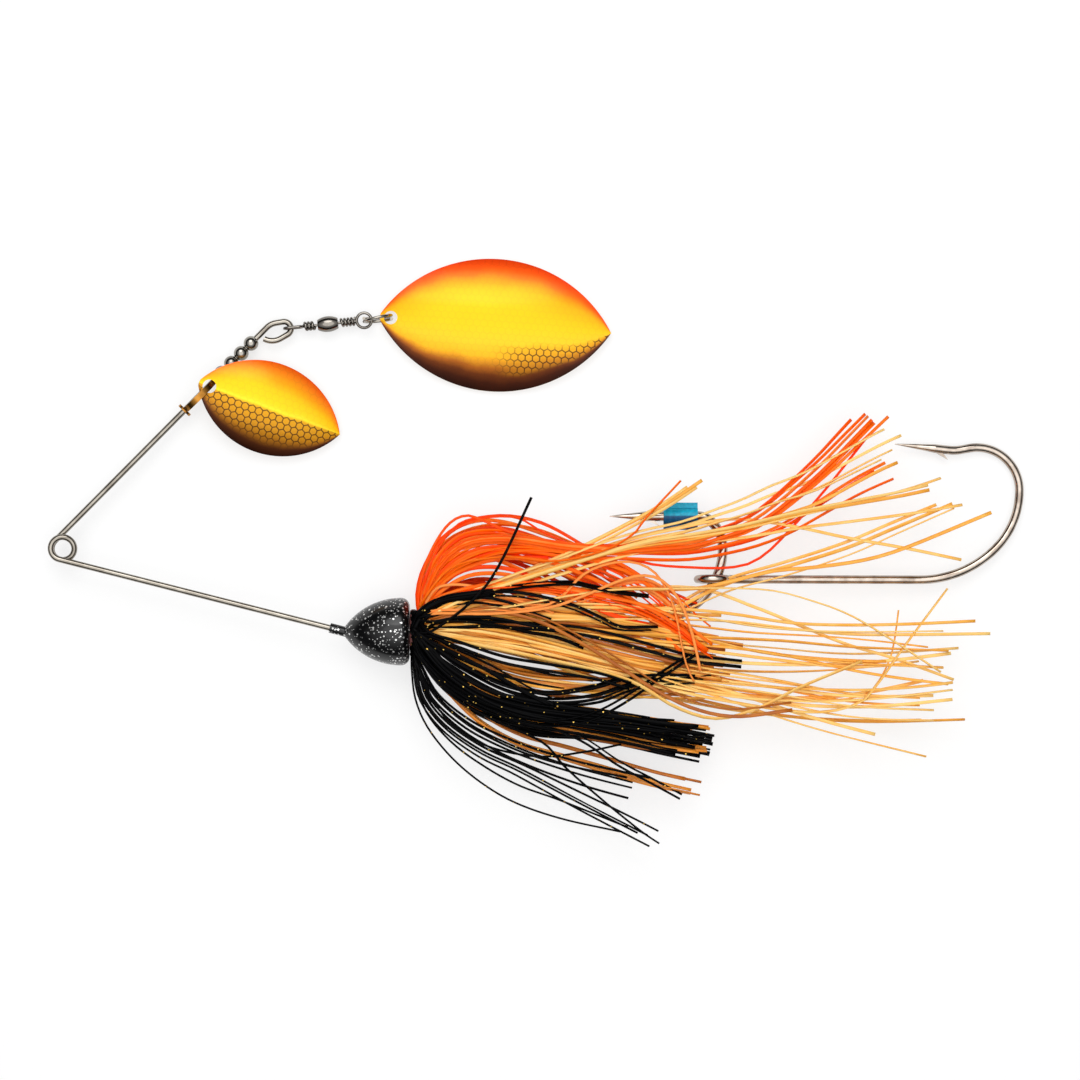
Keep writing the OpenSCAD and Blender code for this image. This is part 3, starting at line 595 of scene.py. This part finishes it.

# Guides of the strands, drawn one by one: those that stay with the lure, and those over the trailer hook
ORANGE_STILL = [
    Tress(1, (-20, 30), LINE, INNER, cut=0, sway=0, thin=0.7, guide=[
        (1.2, 8), (3, 14.6), (6.6, 20.8), (10.3, 23), (14, 22), (19, 19.8), (27, 17.2), (37, 11.6)]),
    Tress(1, (-20, 30), LINE, INNER, cut=0, sway=0, thin=0.7, guide=[
        (1.8, 7.6), (4.4, 15.4), (8.6, 21), (13.2, 22.7), (17.5, 23), (21.7, 22.2), (26.1, 19.6),
        (34, 16), (43, 10)]),
    Tress(4, (-50, 50), (0.5, 1.7, 2.2), INNER, sway=0.6, clump=1, guide=[
        (1.6, 7.4), (3.8, 13.8), (7.6, 18.8), (12.4, 20.9), (18, 20.9), (25, 19), (33, 15.8),
        (41, 11)]),
    Tress(11, (-60, 70), (1.2, 3.4, 3.2), INNER, cut=0.25, sway=1.2, drift=0.8, clump=2, thin=1.15, guide=[
        (2, 6.8), (4.2, 12), (8.4, 16.4), (15, 18), (23, 16.4), (32, 12.2), (41, 6.8), (50, 0.8),
        (58, -4)]),
    Tress(10, (-70, 80), (0.7, 2.6, 3.2), OVER, cut=0.3, sway=1.2, drift=0.9, clump=2, thin=1.15, guide=[
        (3.2, 6), (6.5, 9.6), (12, 12.4), (20, 12.6), (29, 9.6), (38, 5), (48, 0.6)]),
    Tress(8, (10, 70), (0.4, 1.8, 1.8), OVER, sway=1.1, drift=0.8, clump=1, guide=[
        (3, 6.6), (8, 12), (17, 15.5), (27, 15.6), (36, 13.2), (44, 9.6), (50, 5), (54, 0),
        (59.4, -4.6)]),
    Tress(5, (10, 70), (0.4, 1.2, 0.8), UPPER, cut=0.04, sway=0.3, clump=1, guide=[
        (4, 5.6), (14, 8.4), (26, 8.6), (36, 7), (45.5, 4.6), (52.4, 0.8), (56.9, -2.7),
        (59.9, -4.8)]),
    Tress(4, (20, 80), (0.4, 0.9, 1.2), UPPER, shades=PALE, sway=0.2, clump=1, guide=[
        (3.4, 5), (12, 6), (22, 5.6), (30, 5.6), (36, 7), (42, 9), (46, 9.2), (50, 7), (54, 3.6)]),
    Tress(1, (20, 80), LINE, TOP, cut=0, sway=0, shades=PALE, thin=0.75, guide=[
        (4, 4), (14, 4), (24, 4.6), (29, 6.4), (33.8, 11.2), (39, 13.4), (44, 13.6), (48, 11.6),
        (50.8, 7.4), (52.4, 2.4), (53.4, -3), (54.4, -7), (55.8, -10)]),
    Tress(1, (20, 80), LINE, TOP, cut=0, sway=0, shades=PALE, thin=0.75, guide=[
        (4, 3.4), (16, 3.4), (27, 4.6), (34, 7), (41.2, 10), (46, 11), (50, 9.6), (53.2, 5.4),
        (55.2, 0), (56.2, -4), (57, -8)]),
    Tress(1, (20, 80), LINE, TOP, cut=0, sway=0, shades=PALE, thin=0.8, guide=[
        (2.6, 4.6), (2.9, 6), (5, 8.6), (9, 9.2), (14, 8.4), (20, 6.4), (28, 3.6)]),
    Tress(1, (20, 60), LINE, TOP, cut=0, sway=0, thin=0.7, guide=[
        (2.6, 6.6), (8, 12.6), (18, 14.6), (28, 13.8), (37, 15.6), (43.4, 18.9), (46.4, 22.5),
        (53.2, 29.8)]),
]
ORANGE_SWEPT = [
    Tress(6, (0, 70), (0.4, 1.2, 2.2), UPPER, cut=0.06, sway=0.25, clump=1, guide=[
        (2.4, 7), (5.5, 13.5), (11, 17.6), (20, 18.2), (31, 16.6), (41, 16.1), (49.5, 16.7),
        (55.6, 17.3), (61.7, 19.2), (66.6, 20.9), (71.5, 24), (76.4, 28), (82, 33), (87, 38),
        (93.2, 44.2)]),
    Tress(3, (0, 70), (0.4, 0.8, 1.6), UPPER, cut=0.05, sway=0.2, clump=1, guide=[
        (2.6, 7), (6.5, 12.6), (13, 16.4), (22, 16.6), (32, 15.4), (41, 15.4), (50, 15.2),
        (55.6, 15.5), (61.7, 16.7), (67.9, 18.4), (74, 21), (80, 24.6), (88, 29.4), (97, 33.8)]),
    Tress(1, (10, 60), LINE, OVER, cut=0, sway=0, thin=0.7, shades=(0, 0.2), guide=[
        (3, 6.4), (8, 11), (17, 14.4), (28, 14.8), (41, 14.6), (48.3, 13.2), (55.6, 12.7),
        (61.7, 12.6), (66.6, 13.4), (70.3, 15.6), (74, 19.2), (78, 23.6), (83, 29.4), (90.6, 39)]),
]
TAN_STILL = [
    Tress(40, NEAR, (0.9, 4.6, 4.2), OVER, cut=0.25, sway=0.9, drift=0.6, shades=(0, 0.8), guide=[
        (3.6, 1.2), (10, 2), (20, 1.4), (32, -0.6), (45, -3.2), (57, -5.2), (65, -6.4)]),
    Tress(18, (80, 280), (0.7, 2.0, 2.4), OVER, cut=0.15, sway=0.7, drift=0.5, guide=[
        (3.4, -2), (10, -5.4), (20, -9), (31, -10.8), (42, -11.2), (53, -10.4), (61, -9.8)]),
    Tress(8, ALL_ROUND, (1.0, 2.2, 2.8), OVER, sway=1.6, drift=1.5, shades=LIGHT, clump=1, guide=[
        (4, 0), (14, -1.6), (28, -4.6), (42, -8.6), (57, -12), (72, -14), (89, -14.6), (110, -13.6)]),
    Tress(10, ALL_ROUND, (1.0, 3.0, 3.2), OVER, sway=1.6, drift=1.5, shades=LIGHT, clump=1, guide=[
        (4, 1), (14, 1), (28, -1), (42, -3.6), (57, -5.8), (72, -7.4), (88, -9.2), (109, -9.4)]),
    Tress(4, NEAR, (0.9, 1.6, 2.4), OVER, sway=0.9, drift=0.9, shades=LIGHT, clump=1, guide=[
        (4, 2), (14, 3.4), (28, 4), (42, 3.6), (56, 1.4), (70, -1), (86, -2), (108, -2)]),
    Tress(1, NEAR, LINE, UPPER, cut=0, sway=0, shades=LIGHT, guide=[
        (4, 2), (16, 4), (30, 4.6), (44, 4.6), (55.6, 4.2), (64.8, 3.2), (75.2, 1.6), (86.2, 1.2),
        (98.5, 1.4), (111.6, 2)]),
    Tress(1, NEAR, LINE, UPPER, cut=0, sway=0, shades=LIGHT, guide=[
        (4, 1), (20, 2), (40, 2.4), (61.7, 2), (74, 0.6), (86.2, -0.6), (98.5, -0.7), (114.6, -0.5)]),
    Tress(1, NEAR, LINE, UPPER, cut=0, sway=0, shades=LIGHT, guide=[
        (4, 2), (20, 5), (38, 8), (53.2, 8.4), (62, 8.5), (71.5, 8), (80.1, 5.7), (86.2, 3.4),
        (92.4, -0.1), (104.6, -8.1)]),
    Tress(1, NEAR, LINE, OVER, cut=0, sway=0, shades=LIGHT, guide=[
        (4, 1), (20, 4), (40, 8), (56, 8.6), (67.9, 4.8), (77, 1.1), (86.2, -2.6), (95.4, -5.3),
        (107.4, -9.6)]),
    Tress(6, (120, 240), (0.3, 1.0, 1.0), INNER, cut=0.06, sway=0.3, shades=(0, 0.5), guide=[
        (3, -4.6), (6, -10), (13, -17), (21.1, -21.6), (29.4, -24), (38.6, -26.6), (47.8, -29.2),
        (57.2, -31.3)]),
    Tress(8, (100, 260), (0.4, 1.8, 2.2), OVER, cut=0.15, shades=(0, 0.6), guide=[
        (3.2, -4), (8, -9.4), (18, -14.8), (32, -18), (46, -20.4), (58.6, -22)]),
    Tress(2, NEAR, (0.4, 0.8, 0.9), TOP, sway=0, shades=(0, 0.3), guide=[
        (4, 2), (14, 4), (24, 2.6), (33, -1.6), (41, -6.4), (49, -11.4), (56, -14.6), (64, -16),
        (75, -14.6)]),
    Tress(1, NEAR, LINE, UPPER, cut=0, sway=0, shades=LIGHT, guide=[
        (4, 0), (20, -4), (40, -9), (60, -13.4), (78, -16), (88, -14.4), (92.4, -10), (97, -3.6),
        (106.1, 8.5)]),
    Tress(1, NEAR, LINE, OVER, cut=0, sway=0, shades=LIGHT, guide=[
        (4, 0), (20, -3), (40, -7), (60, -11), (80, -13.6), (90, -12.4), (94.2, -6.9), (95.7, -2),
        (96.6, 4.2)]),
    Tress(1, NEAR, LINE, UPPER, cut=0, sway=0, shades=LIGHT, guide=[
        (4, -1), (24, -5), (42, -9.4), (52, -15), (60, -17.3), (68, -15.4), (77, -11), (89, -6)]),
    Tress(2, NEAR, (0.4, 0.6, 0.9), OVER, sway=0.2, shades=LIGHT, guide=[
        (4, 0), (24, -2.4), (44, -7), (62, -12.6), (80, -18.2), (102, -23.6)]),
    Tress(3, (30, 80), (0.3, 0.5, 0.7), RISING, cut=0.05, sway=0.1, clump=1, shades=LIGHT, guide=[
        (4, 3), (12, 7), (22, 11.4), (32, 15.6), (42, 20.6), (50, 25), (57.4, 29.9)]),
]
TAN_SWEPT = [
    Tress(5, (30, 110), (0.6, 1.2, 2.4), UPPER, cut=0.1, sway=0.3, drift=0.6, shades=LIGHT, clump=1, guide=[
        (4, 3), (10, 6.4), (19, 9.8), (29, 13), (38, 16.2), (46, 18.4), (54, 20), (60, 21.8),
        (66, 23.6), (72, 26), (80, 28.8), (94, 36), (103, 39.6)]),
    Tress(4, (30, 110), (0.6, 1.0, 2.6), UPPER, cut=0.08, sway=0.3, drift=0.6, shades=LIGHT, clump=1, guide=[
        (4, 3), (12, 6.8), (22, 10), (34, 13.8), (46, 17.2), (57, 19), (66, 20.6), (76, 23),
        (86, 25), (98, 27.4), (108, 30)]),
    Tress(3, (30, 110), (0.5, 1.2, 1.6), OVER, cut=0.04, sway=0.3, drift=0.7, shades=LIGHT, clump=1, guide=[
        (4, 2), (12, 4.2), (22, 5.2), (34, 5), (46, 4.6), (52.6, 5), (57.5, 7.4), (64, 10.2),
        (74, 13), (86.2, 17), (95.4, 21), (107, 26)]),
    Tress(1, (30, 110), LINE, OVER, cut=0, sway=0, shades=LIGHT, guide=[
        (4, 2), (14, 5.6), (28, 8), (42, 8.4), (55.6, 8.4), (65, 10.4), (72, 12), (80.1, 12.7),
        (90, 14.2), (98.5, 16.8), (115, 23.6)]),
    Tress(1, (30, 110), LINE, UPPER, cut=0, sway=0, shades=LIGHT, guide=[
        (4, 3), (16, 8), (28, 12.6), (37, 16.2), (45.2, 18.8), (52.6, 20.4), (60.5, 22),
        (66.6, 22.2), (76.4, 20.7), (86.2, 18.6), (98.5, 16.4), (109, 14.2)]),
]
BLACK_STILL = [
    Tress(48, (100, 260), (0.8, 2.5, 2.0), OVER, cut=0.15, drift=0.4, guide=[
        (1.8, -4.4), (5.4, -9), (11, -13.2), (18, -16), (25, -17.4), (34, -18.4), (43.2, -19.8),
        (50.1, -21.2), (59.4, -23)]),
    Tress(20, NEAR, (0.5, 1.6, 1.2), UPPER, cut=0.2, guide=[
        (2.6, -3.2), (7, -8), (14, -12.6), (22, -15.2), (31, -16.6), (41, -17.8), (50, -19.2),
        (58, -20.4)]),
    Tress(9, NEAR, (0.4, 1.4, 0.5), UPPER, cut=0.08, sway=0.3, guide=[
        (2.8, -2.4), (9, -7), (18, -11.6), (27, -13.6), (36, -12.9), (42, -11), (47, -9.9),
        (53, -9.6), (59.2, -9.4)]),
    Tress(1, (170, 190), LINE, INNER, cut=0, sway=0, thin=0.6, guide=[
        (-0.2, -7.8), (0.5, -13.3), (2.8, -18.8), (7.4, -24.7), (13.3, -29.8), (20.2, -33.9),
        (29.4, -37.1), (41.1, -39.7)]),
    Tress(1, (160, 200), LINE, INNER, cut=0, sway=0, thin=0.65, guide=[
        (0.2, -8), (2.3, -15.6), (7.4, -21.9), (14, -26.8), (21.1, -30.7), (29.4, -33.7),
        (42.7, -39)]),
    Tress(4, (140, 220), (0.6, 1.2, 1.6), INNER, cut=0.06, sway=0.3, clump=1, thin=0.7, guide=[
        (0.6, -7.4), (2, -13.3), (6.4, -18.8), (13.3, -23.6), (20.2, -26.8), (24.8, -29.1),
        (34, -33.9), (48, -41)]),
    Tress(5, (140, 220), (0.6, 1.8, 2.6), INNER, cut=0.08, sway=0.4, clump=1, thin=0.7, guide=[
        (1, -6.6), (4.2, -13), (10.4, -18.6), (17.6, -22.6), (25, -25.6), (34, -28.4), (46.4, -31.4)]),
    Tress(1, (140, 220), LINE, OVER, cut=0, sway=0, thin=0.7, guide=[
        (1, -6.6), (4, -13.4), (8, -18.6), (15, -22.8), (24.8, -24.8), (34, -23.9), (41.3, -22.4)]),
    Tress(1, (130, 170), LINE, OVER, cut=0, sway=0, thin=0.7, guide=[
        (2, -6), (8, -13), (16, -17.6), (25.7, -22), (30.3, -27), (37.7, -33.5), (45, -39.4),
        (48.8, -42)]),
    Tress(2, (130, 170), (0.3, 0.4, 0.6), OVER, cut=0.06, sway=0, clump=1, thin=0.85, guide=[
        (2.4, -5), (9, -11.6), (18, -16), (27, -18.6), (34, -21.5), (40.9, -26.1), (47.8, -29.8),
        (54.6, -33.5)]),
    Tress(6, (30, 90), (0.4, 0.6, 0.5), TOP, cut=0.1, sway=0.1, clump=1, guide=[
        (2, 4.2), (6.4, 6.3), (12.4, 7.2), (16.5, 7.6)]),
    Tress(2, (30, 90), (0.3, 0.3, 0.2), TOP, cut=0, sway=0, guide=[
        (2, 4.2), (6.4, 6.5), (12.4, 7.4), (17.9, 8.3), (24.8, 9.2), (31.7, 9.5), (36.3, 8.6),
        (41.3, 7.6), (46.8, 6.9)]),
    Tress(2, (30, 90), (0.3, 0.4, 0.3), TOP, cut=0.03, sway=0, guide=[
        (2, 4), (7, 6.2), (13, 7.2), (19.3, 7.4), (24.8, 6.6), (31.7, 4.8), (37.2, 2.4),
        (41.3, 0.6), (48.6, 0.6)]),
    Tress(2, (30, 90), (0.3, 0.6, 0.6), TOP, cut=0.1, sway=0, guide=[
        (2.4, 3.8), (8, 5.6), (14, 6), (19.5, 4.8), (24.5, 2.6), (28, 1.4)]),
    Tress(2, NEAR, (0.2, 0.5, 0.4), TOP, cut=0.1, sway=0, guide=[
        (2.6, 2.6), (6.4, 3), (10.6, 2.9), (15.4, 2.2)]),
    Tress(3, NEAR, (0.3, 0.7, 0.5), TOP, cut=0.1, sway=0, guide=[
        (4, 1.6), (10, 2.4), (17, 1.8), (23, 0.5), (29.4, -0.9), (36, -3.7)]),
    Tress(2, NEAR, (0.3, 0.5, 0.4), UPPER, cut=0, sway=0, guide=[
        (4, 1), (14, 1.4), (26, 0.8), (33, 0), (38.6, -1.1), (47.8, -3.6), (54.6, -5.4),
        (65.2, -6.6)]),
    Tress(2, NEAR, (0.3, 0.6, 0.5), TOP, cut=0.06, sway=0, guide=[
        (3, -0.6), (8.7, -2.7), (17.9, -5.9), (27.1, -7.6), (36.3, -9.2), (43, -11.2)]),
    Tress(3, NEAR, (0.3, 0.7, 0.7), TOP, cut=0.06, sway=0, guide=[
        (3, -1.4), (8.6, -4), (15.6, -7.4), (22.5, -11.4), (28.5, -14.2)]),
    Tress(3, NEAR, (0.4, 1.0, 0.8), UPPER, cut=0.2, sway=0.3, guide=[
        (2.8, -1.6), (10, -5), (20, -8.4), (30, -10.4), (40, -10.8)]),
    Tress(1, NEAR, LINE, CLEAR, sway=0, cut=0, guide=[
        (3, -0.4), (6.4, 1.6), (10.6, 4.8), (14.6, 9), (18.2, 15), (23.5, 26.4)]),
    Tress(2, NEAR, (0.3, 0.7, 0.4), TOP, cut=0.02, sway=0, guide=[
        (2, -5), (8, -11), (17, -15.8), (26, -18.2), (34.6, -17.2), (42, -13.6), (49, -8.8),
        (56.3, -4.1)]),
]


def make_skirt():
    """The skirt's strands by colour; those that lie over the trailer hook make pieces of their own."""
    rng = np.random.default_rng(SEED)
    orange = strand_rubber(
        "strand_orange", ("ff3c00", "ff5800", "ff7002", "ff9848"), gloss=0.12)
    tan = strand_rubber(
        "strand_tan", ("aa5812", "e08826", "fab042", "ffd27c"), gloss=0.3)
    black = strand_rubber(
        "strand_black", ("010102", "020203", "030304", "060607"), gloss=0.05, glitter="e8c060")
    # Where roots lie along the head's axis, and how far from it
    under_collar = ((1.0, 2.3), 3.3)
    over_collar = ((-0.5, 0.4), 4.66)
    colours = {
        "orange": (orange, 0.72, under_collar, ORANGE_STILL, ORANGE_SWEPT),
        "tan": (tan, 0.68, under_collar, TAN_STILL, TAN_SWEPT),
        "black": (black, 0.64, over_collar, BLACK_STILL, []),
    }
    for colour, (material, width, roots, still, swept) in colours.items():
        strands = StrandPiece(colour + "_strands", width, *roots)
        for tress in still:
            tress.grow(strands, rng)
        piece = strands.build(material)
        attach(piece, "lure")
        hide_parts(f"skirt_{colour}_near", f"skirt_{colour}_far")
        if swept:
            strands = StrandPiece(colour + "_strands_over_trailer", width, *roots)
            for tress in swept:
                tress.grow(strands, rng)
            piece = strands.build(material)
            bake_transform(piece)


def finish_nodes():
    """Materials of the CAD nodes that keep their own shapes."""
    wire = metal("spring_wire", "9a948a", "544a40", 0.13, tarnish=0.5)
    hooks = metal("hook_nickel", "bcb0a4", "5c483a", 0.05, tarnish=0.6)
    beads = metal("bead_nickel", "9c9890", "504a42", 0.08, tarnish=0.5)
    dark = metal("dark_nickel", "88837c", "342f2a", 0.12, tarnish=0.6)
    ring = metal("ring_steel", "a09a90", "544a40", 0.12, tarnish=0.5)
    brass = metal("clevis_brass", "b07a34", "5c3a14", 0.22, tarnish=0.6)
    paint_nodes(wire, "wire_frame")
    paint_nodes(hooks, "main_hook", "trailer_hook")
    paint_nodes(beads, *(f"bead_{i}" for i in range(1, 5)))
    paint_nodes(dark, "swivel_front_eye", "swivel_barrel", "swivel_rear_eye")
    paint_nodes(ring, "split_ring")
    paint_nodes(brass, "clevis")
    paint_nodes(head_paint(), "head")
    paint_nodes(collar_rubber(), "skirt_collar")
    paint_nodes(stop_rubber(), "hook_stop")
    large = blade_paint(
        "large_blade", "large_blade_swing", LARGE_STOPS,
        net_levels=(0.36, 0.26, 0.16, 0.1), net_run=(0.45, 0.62))
    small = blade_paint(
        "small_blade", "small_blade_swing", SMALL_STOPS,
        net_levels=(0.49, 0.475, 0.22, 0.08), net_run=(-0.2, 0.05))
    paint_nodes(large, "large_blade")
    paint_nodes(small, "small_blade")


def softbox(name, place, size, power):
    """A round lamp that shines at the lure and that the camera doesn't see."""
    lamp = bpy.data.lights.new(name, "AREA")
    lamp.shape = "ELLIPSE"
    lamp.size, lamp.size_y = size
    lamp.energy = power
    holder = bpy.data.objects.new(name, lamp)
    holder.location = place
    holder.rotation_euler = (VIEW_CENTRE - Vector(place)).to_track_quat("-Z", "Y").to_euler()
    holder.visible_camera = False
    bpy.context.scene.collection.objects.link(holder)


def make_stage():
    """White table, studio lamps, and the photograph's camera straight above."""
    scene = bpy.context.scene
    scene.view_settings.view_transform = "Standard"
    mesh = bpy.data.meshes.new("table")
    signs = ((-1, -1), (1, -1), (1, 1), (-1, 1))
    corners = [(x * TABLE_HALF, y * TABLE_HALF, TABLE) for x, y in signs]
    mesh.from_pydata(corners, [], [(0, 1, 2, 3)])
    table = bpy.data.objects.new("table", mesh)
    scene.collection.objects.link(table)
    g = Graph("table_white", Roughness=0.9)
    g.set("Base Color", g.ramp(g.noise(g.mm, 0.01), (0.3, "fbfbfb"), (0.7, "ffffff")))
    path = g.nodes.new("ShaderNodeLightPath")
    seen = g.math("MAXIMUM", path.outputs["Is Camera Ray"], path.outputs["Is Glossy Ray"])
    seen = g.math("MAXIMUM", seen, path.outputs["Is Transmission Ray"])
    white = g.nodes.new("ShaderNodeEmission")
    blend = g.nodes.new("ShaderNodeMixShader")
    g.put(blend.inputs[0], g.math("MULTIPLY", seen, TABLE_GLOW))
    g.put(blend.inputs[1], g.shader.outputs[0])
    g.put(blend.inputs[2], white.outputs[0])
    g.put(g.nodes["Material Output"].inputs["Surface"], blend.outputs[0])
    mesh.materials.append(g.material)

    world = bpy.data.worlds.new("studio")
    world.use_nodes = True
    nodes, links = world.node_tree.nodes, world.node_tree.links
    coords = nodes.new("ShaderNodeTexCoord")
    split = nodes.new("ShaderNodeSeparateXYZ")
    ramp = nodes.new("ShaderNodeValToRGB")
    elements = ramp.color_ramp.elements
    while len(elements) < len(SKY):
        elements.new(0.5)
    for element, (height, glow) in zip(elements, SKY):
        element.position = height
        element.color = (glow, glow, glow, 1)
    links.new(coords.outputs["Generated"], split.inputs[0])
    links.new(split.outputs["Z"], ramp.inputs[0])
    links.new(ramp.outputs[0], nodes["Background"].inputs[0])
    scene.world = world

    softbox("overhead", place=(0.10, 0.02, 1.2), size=(1.5, 1.5), power=6)
    softbox("upper_side", place=(0.0, 0.7, 0.9), size=(0.9, 0.6), power=4)

    camera = bpy.data.cameras.new("camera")
    camera.sensor_width = SENSOR
    camera.lens = SENSOR * CAMERA_HEIGHT / VIEW_WIDTH
    camera.clip_start = 0.01
    holder = bpy.data.objects.new("camera", camera)
    holder.location = VIEW_CENTRE + Vector((0, 0, CAMERA_HEIGHT))
    scene.collection.objects.link(holder)
    scene.camera = holder


make_skirt()
finish_nodes()
make_stage()
